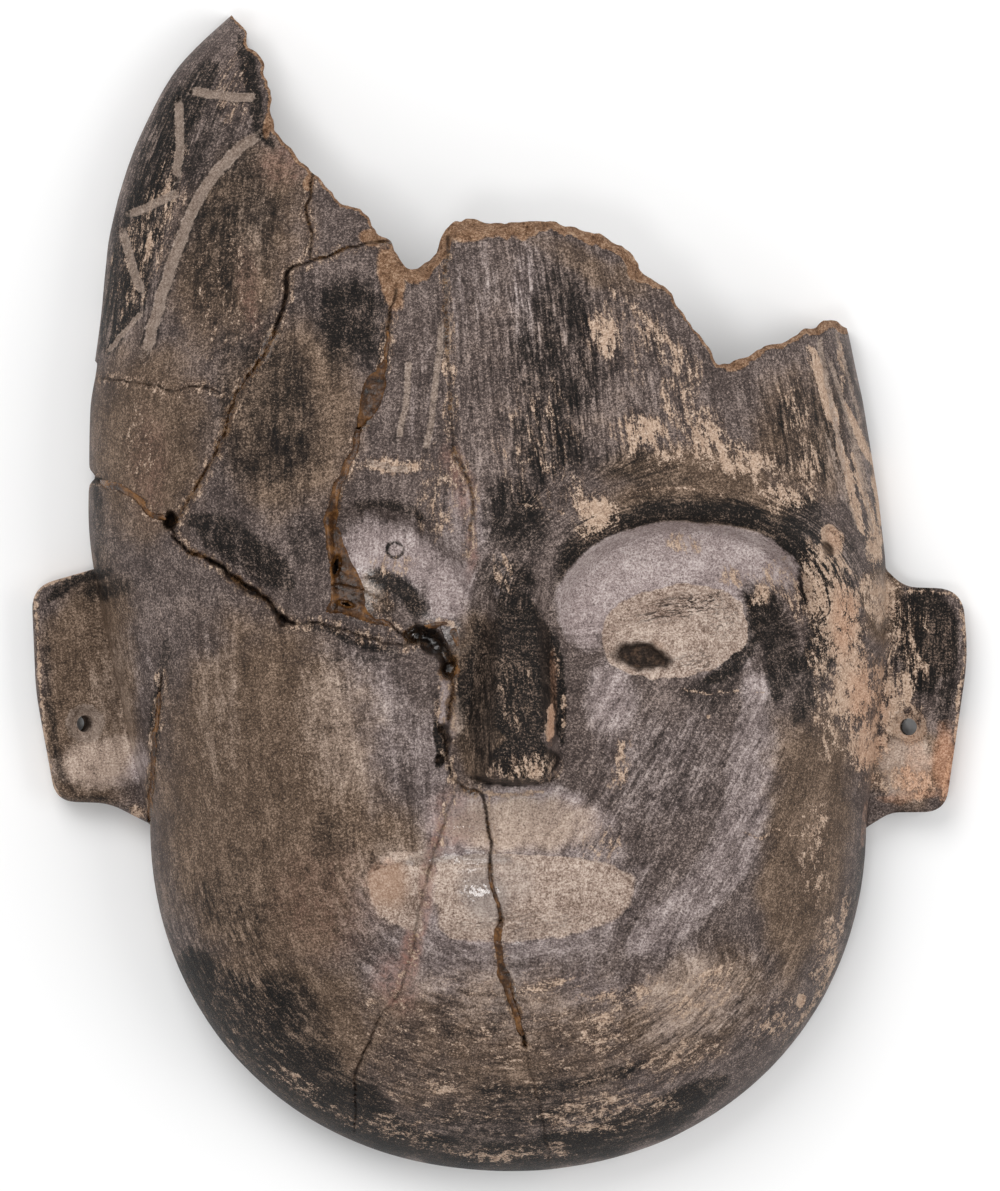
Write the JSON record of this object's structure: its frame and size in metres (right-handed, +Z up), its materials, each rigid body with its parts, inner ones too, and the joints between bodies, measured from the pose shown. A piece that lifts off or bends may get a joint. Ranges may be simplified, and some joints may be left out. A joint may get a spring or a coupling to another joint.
{
  "type": "ceramic mask",
  "caption": "Burnished clay face mask with a bar nose, oval eye and mouth beds and pierced ear tabs, broken across the crown and mended with resin.",
  "frame": {"origin": "under the middle of the mask's bounding box, on the plane that the back rim rests on", "axes": "+Z up and out of the face, +Y from the chin to the crown, +X to the right of someone who looks at the face"},
  "size_m": [0.2057, 0.2543, 0.0695],
  "materials": {
    "clay": "satin",
    "resin": "gloss"
  },
  "bodies": {
    "root": {"mask_body": "clay", "resin_temple_seam": "resin", "resin_forehead_bead": "resin", "resin_eye_seam": "resin", "resin_chin_seam": "resin", "resin_ear_seam": "resin"}
  },
  "joints": []
}
